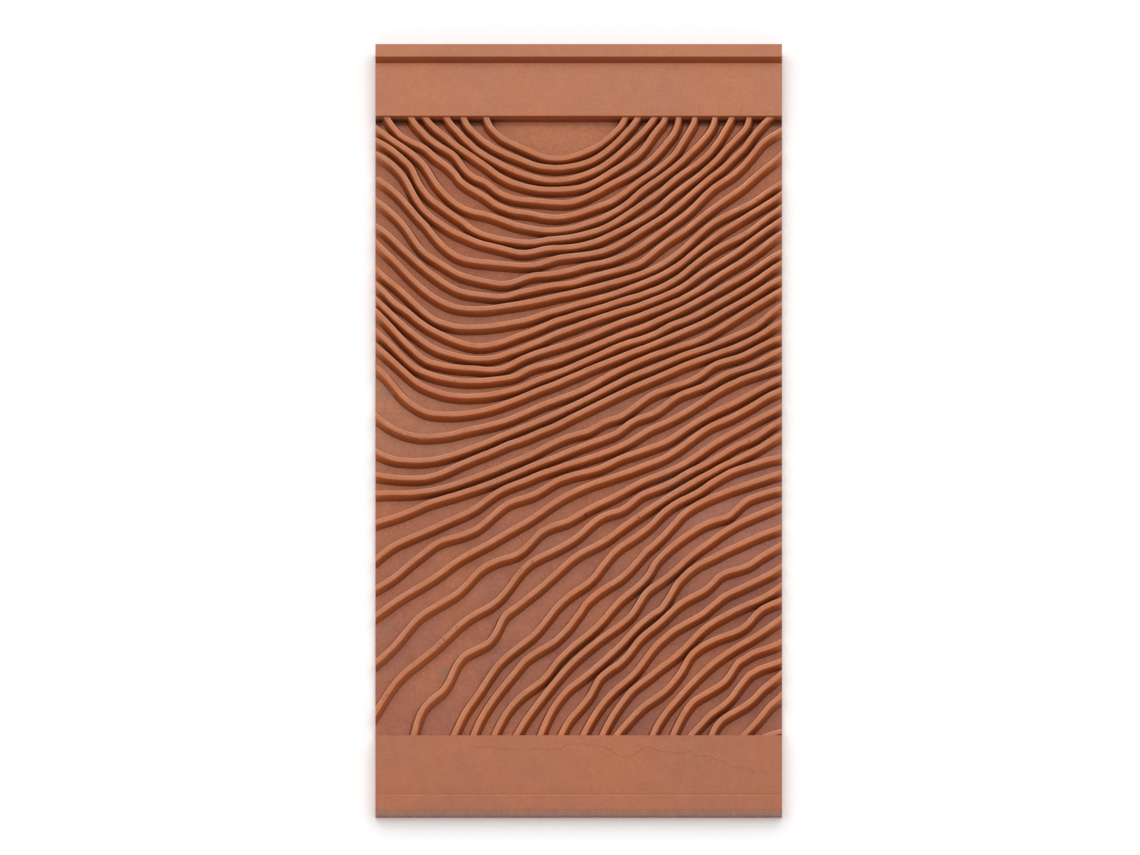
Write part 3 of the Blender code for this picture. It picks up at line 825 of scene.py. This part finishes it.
def hurts_of(number, points):
    """The dents that one rib carries: the air holes on it and the nicks along its torn edges."""
    hurts = []
    for across, along, _, _, reach, depth in AIR_HOLES:
        dent = np.array(field_place(across, along))
        if np.hypot(*(points - dent).T).min() < DENT_CATCH:
            hurts.append((dent, reach, depth))
    draw = np.random.default_rng(NICK_SEED + number)
    way = unit_way(points)
    for rib, left, right, depth in RAGGED_EDGES:
        if rib != number:
            continue
        for point, along in zip(points, way):
            across = (point[0] / half_width + 1) / 2
            if not left < across < right or draw.random() > NICK_SHARE:
                continue
            tailward = np.array([along[1], -along[0]]) * math.copysign(1.0, along[0])
            nick = point + tailward * NICK_ASIDE * MM * draw.uniform(*NICK_ASIDE_SPREAD)
            hurts.append((nick, draw.uniform(*NICK_REACH), depth * draw.uniform(*NICK_DEPTH_SPREAD)))
    return hurts


def stations(points, hurts):
    """Even steps along a course, closer together beside a hurt; gives places, ways and lengths along."""
    run = lengths_along(points)
    marks = [0.0]
    while marks[-1] < run[-1]:
        here = points_at(marks[-1], run, points)
        near = any(np.hypot(*(here - hurt)) < (reach + FINE_MARGIN) * MM for hurt, reach, _ in hurts)
        marks.append(marks[-1] + (FINE_STEP if near else COARSE_STEP))
    marks[-1] = run[-1]
    if len(marks) > 2 and marks[-1] - marks[-2] < SHORTEST_STEP:
        del marks[-2]
    places = points_at(marks, run, points)
    return places, unit_way(places), np.array(marks)


def wander(marks, number, kind):
    """Smooth seeded unevenness along a rib."""
    seed, wave_mm, height = kind
    draw = np.random.default_rng(seed + number)
    total = np.zeros_like(marks)
    for k in range(WAVES):
        length = wave_mm * MM * (SHORTEST_WAVE + WAVE_GROWTH * k)
        start = draw.uniform(0, 2 * math.pi)
        total += np.sin(marks / length * 2 * math.pi + start) * draw.uniform(*WAVE_SPREAD)
    return total * height / WAVE_SUM


def crowding(places, neighbours):
    """How tightly the nearest of the neighbouring courses hems in each place, from 0 to 1."""
    nearest = np.full(len(places), OPEN_SPACING * MM)
    for course in neighbours:
        away = np.hypot(*(places[:, None] - course[None]).T).min(axis=0)
        nearest = np.minimum(nearest, away)
    return np.clip((OPEN_SPACING - nearest / MM) / (OPEN_SPACING - CROWDED_SPACING), 0, 1)


def cut_flush(bm):
    """Cuts a rib off at the pad's two sides and closes the cuts."""
    for wall in (-1, 1):
        made = bmesh.ops.bisect_plane(
            bm, geom=bm.verts[:] + bm.edges[:] + bm.faces[:], dist=CUT_TOLERANCE,
            plane_co=(wall * half_width, 0, 0), plane_no=(wall, 0, 0), clear_outer=True)
        rim = [cut for cut in made["geom_cut"] if isinstance(cut, bmesh.types.BMEdge) and cut.is_boundary]
        if rim:
            bmesh.ops.holes_fill(bm, edges=rim, sides=0)
    bmesh.ops.recalc_face_normals(bm, faces=bm.faces)


def rib_mesh(number, points):
    """One rib as a closed body, its section carried along the course, with its hurts pressed in."""
    open_start = number == OPEN_ENDED_RIB
    hurts = hurts_of(number, points)
    places, way, marks = stations(run_on(points, open_start), hurts)
    headward_crowd = crowding(places, courses[max(0, number - 1 - NEIGHBOURS):number - 1])
    tailward_crowd = crowding(places, courses[number:number + NEIGHBOURS])
    side = np.stack([-way[:, 1], way[:, 0]], axis=1)
    section = list(RIB_SECTION) + [(-a, h) for a, h in reversed(RIB_SECTION[:-1])]
    swell_left, swell_right, sag, rough = (
        wander(marks, number, kind) for kind in (LEFT_SWELL, RIGHT_SWELL, LAND_SAG, EDGE_ROUGHNESS))
    bm = bmesh.new()
    new_layer = bm.verts.layers.float.new
    across_layer, rise_layer, crowd_layer = new_layer("across"), new_layer("rise"), new_layer("crowd")
    rings = []
    for i, place in enumerate(places):
        ring = []
        tapered = 1.0
        drop = 0.0
        if open_start:
            lead = marks[i] / MM
            tapered = min(1.0, OPEN_END_WIDTH + (1 - OPEN_END_WIDTH) * lead / OPEN_END_RUN)
            drop = max(0.0, OPEN_END_SLOPE_RUN - lead) * OPEN_END_SLOPE
        headward = min(1.0, max(0.0, place[1] / field_top_y) * SLIMMING_HASTE)
        slim = SLIMMING * max(0.0, place[0] / half_width) * headward
        for a, h in section:
            wide = 1 if a > 0 else -1
            edge = (swell_left[i] if a > 0 else swell_right[i]) + rough[i]
            top_share = max(0.0, min(1.0, (h - WAVER_FROM) / WAVER_RISE))
            offset = a * tapered + (wide * (edge - slim) * top_share if a else 0.0)
            up = h + (sag[i] - drop) * top_share
            spot = place + side[i] * offset * MM
            if h > LAND_LEVEL:
                for hurt, reach, depth in hurts:
                    away = np.hypot(*(spot - hurt)) / MM / reach
                    if away < 1:
                        up -= depth * (1 - away * away) ** DENT_CURVE
            vert = bm.verts.new((spot[0], spot[1], sheet_top + up * MM))
            vert[across_layer] = a / LAND_HALF_WIDTH
            vert[rise_layer] = max(0.0, min(1.0, h / RIB_HEIGHT))
            vert[crowd_layer] = headward_crowd[i] if a > 0 else tailward_crowd[i]
            ring.append(vert)
        rings.append(ring)
    close_rings(bm, rings)
    cut_flush(bm)
    made = object_of(bm, f"grain_rib_{number:02d}_wall")
    smooth_by_angle(made, RIB_CREASE)
    return made


RIB_RUBBER = (0.445, 0.162, 0.079)
# colour of the painted shade along the land's tail-side edge
LAND_EDGE_SHADE = (0.430, 0.125, 0.048)
# colours of the painted highlight lines along the land, paler towards the upper right corner
LAND_HIGHLIGHT = (0.650, 0.290, 0.176)
LAND_HIGHLIGHT_CORNER = (0.760, 0.370, 0.245)
# painted shade on the flanks: colours high and low, to the tail-left and tail-right, and at the feet
SHADED_FLANK_HIGH = (0.415, 0.102, 0.026)
SHADED_FLANK_LOW_OPEN = (0.275, 0.068, 0.018)
SHADED_FLANK_LOW_CROWDED = (0.085, 0.020, 0.005)
SHADED_FLANK_TAIL_LEFT = (0.500, 0.155, 0.058)
SHADED_FLANK_TAIL_RIGHT = (0.230, 0.030, 0.003)
FLANK_FOOT_SHADE = (0.056, 0.018, 0.008)
HEAD_FOOT_SHADE_OPEN = (0.200, 0.064, 0.031)
DEEP_SHADE = (0.050, 0.016, 0.007)
# colour of the painted light on the flanks near the pad's sides
FLANK_SIDE_LIGHT = (0.470, 0.168, 0.078)
# reach of the shade by the head band and of the light by the sides
FLANK_SHADE_REACH = 1.9 * MM
FLANK_SHADE_FULL = 0.7 * MM
LEFT_LIGHT_REACH = 3.8 * MM
RIGHT_LIGHT_REACH = 2.2 * MM
SIDE_LIGHT_FULL = 0.1 * MM


def attribute(tree, name):
    """A value that the rib's mesh carries."""
    node = tree.nodes.new("ShaderNodeAttribute")
    node.attribute_name = name
    return node.outputs["Fac"]


def streak(tree, place, middle, reach):
    """A soft line along the land, at a share of its half-width from the middle."""
    away = math_node(tree, "ABSOLUTE", math_node(tree, "SUBTRACT", place, middle))
    return remap(tree, away, 0.0, reach, 1.0, 0.0)


def land_and_flank(tree, color):
    """Painted highlight lines on the land, painted shade on its tail edge, and flanks painted with shade,
    brown at the foot.
    """
    across, rise, crowded = (attribute(tree, name) for name in ("across", "rise", "crowd"))
    x, y, _ = split(tree, on_object(tree))
    drift = remap(tree, noise(tree, 240.0, 2.0), 0.3, 0.7, -0.10, 0.10, smooth=False)
    place = math_node(tree, "ADD", across, drift)
    # painted highlights: two pale lines along the land, paler towards the upper right corner
    faint = remap(tree, noise(tree, 120.0, 2.0), 0.36, 0.62, 0.35, 1.0)
    middle = product(tree, streak(tree, place, -0.14, 0.28), 0.5)
    pale = product(tree, math_node(tree, "MAXIMUM", streak(tree, place, 0.66, 0.30), middle), faint)
    # painted shade along the land's tail-side edge
    edge_shade = product(tree, remap(tree, place, -0.45, -1.05), 0.55)
    land = blend(tree, edge_shade, color, LAND_EDGE_SHADE)
    rightward = remap(tree, x, -0.2 * half_width, 0.9 * half_width)
    corner = product(tree, rightward, remap(tree, y, 0.0, 0.6 * field_top_y))
    land = blend(tree, product(tree, pale, 0.95), land, blend(tree, corner, LAND_HIGHLIGHT, LAND_HIGHLIGHT_CORNER))

    # painted shade on the flanks, deeper towards the foot and between crowded ribs, lighter to the tail-left
    # and darker to the tail-right
    low = blend(tree, crowded, SHADED_FLANK_LOW_OPEN, SHADED_FLANK_LOW_CROWDED)
    flank = blend(tree, remap(tree, rise, 0.05, 0.90), low, SHADED_FLANK_HIGH)
    toward_tail = remap(tree, y, field_y(0.68), field_y(0.86))
    to_left = remap(tree, x, -0.3 * half_width, -0.8 * half_width)
    flank = blend(tree, product(tree, toward_tail, to_left, 0.42), flank, SHADED_FLANK_TAIL_LEFT)
    to_right = remap(tree, x, -0.3 * half_width, 0.1 * half_width)
    flank = blend(tree, product(tree, toward_tail, to_right, 0.22), flank, SHADED_FLANK_TAIL_RIGHT)
    # painted shade at the tail-side foot of each flank and along the head-side foot next to the web, deeper
    # between crowded ribs
    tailward = remap(tree, across, 0.3, -0.3)
    foot = product(tree, remap(tree, rise, 0.02, 0.16, 1.0, 0.0), tailward)
    foot = product(tree, foot, remap(tree, crowded, 0.0, 0.6, 0.62, 0.96))
    flank = blend(tree, foot, flank, FLANK_FOOT_SHADE)
    headward = math_node(tree, "SUBTRACT", 1.0, tailward)
    near_web = product(tree, remap(tree, rise, 0.05, 0.45, 1.0, 0.0), headward)
    head_foot = blend(tree, remap(tree, crowded, 0.25, 1.0), HEAD_FOOT_SHADE_OPEN, DEEP_SHADE)
    flank = blend(tree, near_web, flank, head_foot)
    under_band = remap(tree, y, field_top_y - FLANK_SHADE_REACH, field_top_y - FLANK_SHADE_FULL, 0.0, 0.85)
    low_down = remap(tree, rise, 0.85, 0.30)
    flank = blend(tree, product(tree, under_band, low_down), flank, DEEP_SHADE)
    # painted light on the flanks near the pad's sides, strongest towards the head
    left = remap(tree, x, SIDE_LIGHT_FULL - half_width, LEFT_LIGHT_REACH - half_width, 0.52, 0.0)
    right = remap(tree, x, half_width - SIDE_LIGHT_FULL, half_width - RIGHT_LIGHT_REACH, 0.45, 0.0)
    headmost = remap(tree, y, field_y(0.55), field_y(0.15), 0.25, 1.0)
    at_side = product(tree, math_node(tree, "MAXIMUM", left, right), headmost)
    flank = blend(tree, at_side, flank, FLANK_SIDE_LIGHT)
    return blend(tree, remap(tree, rise, 0.955, 0.985), flank, land)


rib_rubber = rubber_material(
    "grain rib rubber", RIB_RUBBER, speckle=0.9, tooth=0.9, roughness=0.60, stain=1.0,
    shade=land_and_flank)
courses = [smooth_course(read_course(row)) for row in RIB_COURSE_SHARES]
for number, course in enumerate(courses, start=1):
    rib = rib_mesh(number, course)
    dress(rib, f"grain_rib_{number:02d}", rib_rubber)

# Hairline cracks. The oldest rubber has opened where the pad is bent over the hand: one long wandering crack
# along the tail band and a few short ones at the head band's right end. Each is a seam let into the face and
# coloured dark as painted shadow in the crack. Below are the corners of each crack on the pad, in
# millimetres.
BAND_CRACKS = (
    ((-26.7, -86.1), (-24.2, -86.6), (-21.5, -86.2), (-18.8, -87.0), (-16.4, -86.7), (-13.5, -87.3),
     (-10.6, -86.6), (-7.4, -87.1), (-4.6, -86.84), (-2.44, -85.65), (0.81, -85.45), (6.23, -86.24),
     (8.03, -87.24), (9.83, -88.83), (11.28, -89.11), (13.44, -88.83), (14.89, -87.24), (17.05, -86.24),
     (18.5, -86.84), (20.3, -87.84), (22.83, -87.64), (25.35, -88.23), (27.16, -87.44), (28.96, -88.63),
     (31.13, -88.63), (36.9, -91.02), (38.34, -92.02), (40.15, -91.62), (42.31, -92.61), (44.12, -94.21)),
    ((29.5, 87.5), (29.62, 86.2), (29.58, 85.05)),
    ((34.73, 87.4), (34.6, 86.1), (34.65, 85.05)),
    ((40.15, 87.5), (39.9, 86.3), (39.28, 85.05)),
    ((45.72, 87.5), (45.84, 86.4), (45.80, 85.10)),
)
CRACK_SEED = 40
CRACK_RADIUS = 0.085
CRACK_SPREAD = (0.8, 1.05)
CRACK_SUNK = 0.062
CRACK_SIDES = 8
CRACK_STEP = 0.22
CRACK_JOLT = 0.16
JOLTS_JOINED = 3
# a crack's end starts at this share of its radius and widens over this run
CRACK_TIP = 0.25
CRACK_WIDENING = 1.2
CRACK_TIP_RUN = 2.5
# colour of the painted shadow in the cracks
CRACK_SHADOW_RUBBER = (0.215, 0.075, 0.038)


def crack_mesh(name, corners, top, seed):
    """A thin wandering seam that tapers at both ends, sunk most of its depth in the face."""
    draw = np.random.default_rng(seed)
    corners = np.array(corners, float)
    run = lengths_along(corners)
    marks = np.linspace(0, run[-1], int(run[-1] / CRACK_STEP) + 2)
    line = points_at(marks, run, corners)
    jolts = draw.normal(0, CRACK_JOLT, (len(marks) - 2, 2))
    line[1:-1] += sum(np.roll(jolts, k, axis=0) for k in range(JOLTS_JOINED)) / JOLTS_JOINED
    way = unit_way(line)
    bm = bmesh.new()
    rings = []
    for i, place in enumerate(line):
        from_end = min(marks[i], run[-1] - marks[i])
        taper = min(1.0, CRACK_TIP + CRACK_WIDENING * from_end / CRACK_TIP_RUN)
        radius = CRACK_RADIUS * taper * draw.uniform(*CRACK_SPREAD)
        ring = []
        for k in range(CRACK_SIDES):
            turn = 2 * math.pi * k / CRACK_SIDES
            aside = radius * math.cos(turn)
            up = radius * math.sin(turn) - CRACK_SUNK * taper
            x = place[0] - way[i][1] * aside
            y = place[1] + way[i][0] * aside
            ring.append(bm.verts.new((x * MM, y * MM, top + up * MM)))
        rings.append(ring)
    close_rings(bm, rings)
    return object_of(bm, name)


crack_rubber = rubber_material(
    "crack shadow rubber", CRACK_SHADOW_RUBBER, cloud=0.5, speckle=0.5, tooth=0.8, roughness=0.85, stain=0.0)
for order, corners in enumerate(BAND_CRACKS, start=1):
    band, high = ("head_band", band_high) if corners[0][1] > 0 else ("tail_band", tail_high)
    crack = crack_mesh(f"band_crack_{order}", corners, high[2], CRACK_SEED + order)
    crack.data.materials.append(crack_rubber)
    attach(crack, "root")

# Floor, lights and camera. A seamless white table, a wide soft light from beyond the head end and a weak one
# from the near side, and a camera without perspective, tilted a little from overhead.
WHITE = (1.0, 1.0, 1.0)
FLOOR_SIDE = 4.0
FLOOR_DROP = 0.0002
FLOOR_ROUGHNESS = 0.9
FLOOR_SPECULAR = 0.1
bm = bmesh.new()
bmesh.ops.create_grid(bm, x_segments=1, y_segments=1, size=FLOOR_SIDE / 2)
floor = object_of(bm, "table_top")
floor.location.z = -FLOOR_DROP
floor_paint, floor_shader = new_paint("white table", FLOOR_ROUGHNESS, FLOOR_SPECULAR)
floor_shader.inputs["Base Color"].default_value = (*WHITE, 1.0)
floor.data.materials.append(floor_paint)


def soft_sun(name, heading, elevation, strength, spread):
    """A distant soft light; heading is where it comes from, counted from +X towards +Y."""
    lamp = bpy.data.lights.new(name, "SUN")
    lamp.energy = strength
    lamp.angle = math.radians(spread)
    turn, rise = math.radians(heading), math.radians(elevation)
    source = Vector((math.cos(turn) * math.cos(rise), math.sin(turn) * math.cos(rise), math.sin(rise)))
    put_in_scene(name, lamp).rotation_euler = source.to_track_quat("Z", "Y").to_euler()


soft_sun("head_light", heading=92.0, elevation=66.0, strength=1.74, spread=80.0)
soft_sun("front_light", heading=-80.0, elevation=25.0, strength=0.35, spread=60.0)

# white where it is seen, and this much of it as light on the pad
ROOM_LIGHT = 0.50
world = bpy.data.worlds.new("studio")
bpy.context.scene.world = world
world.use_nodes = True
room = world.node_tree
background = room.nodes["Background"]
rays = room.nodes.new("ShaderNodeLightPath").outputs
seen = math_node(room, "MAXIMUM", rays["Is Camera Ray"], rays["Is Glossy Ray"])
seen = math_node(room, "MAXIMUM", seen, rays["Is Transmission Ray"])
level = math_node(room, "MULTIPLY_ADD", seen, 1.0 - ROOM_LIGHT, ROOM_LIGHT)
room.links.new(level, background.inputs["Strength"])
background.inputs["Color"].default_value = (*WHITE, 1.0)

FRAME_WIDTH = 0.2804
STAND_BACK = 3.0
FARTHEST = 20.0
TILT = math.radians(25.0)
AIM = Vector((-0.00214, 0.00227, 0.0))
camera_data = bpy.data.cameras.new("long_lens")
camera_data.type = "ORTHO"
camera_data.ortho_scale = FRAME_WIDTH
camera_data.clip_end = FARTHEST
camera = put_in_scene("long_lens", camera_data)
camera.rotation_euler = (TILT, 0.0, 0.0)
camera.location = AIM + STAND_BACK * Vector((0.0, -math.sin(TILT), math.cos(TILT)))
bpy.context.scene.camera = camera
bpy.context.scene.view_settings.view_transform = "Standard"
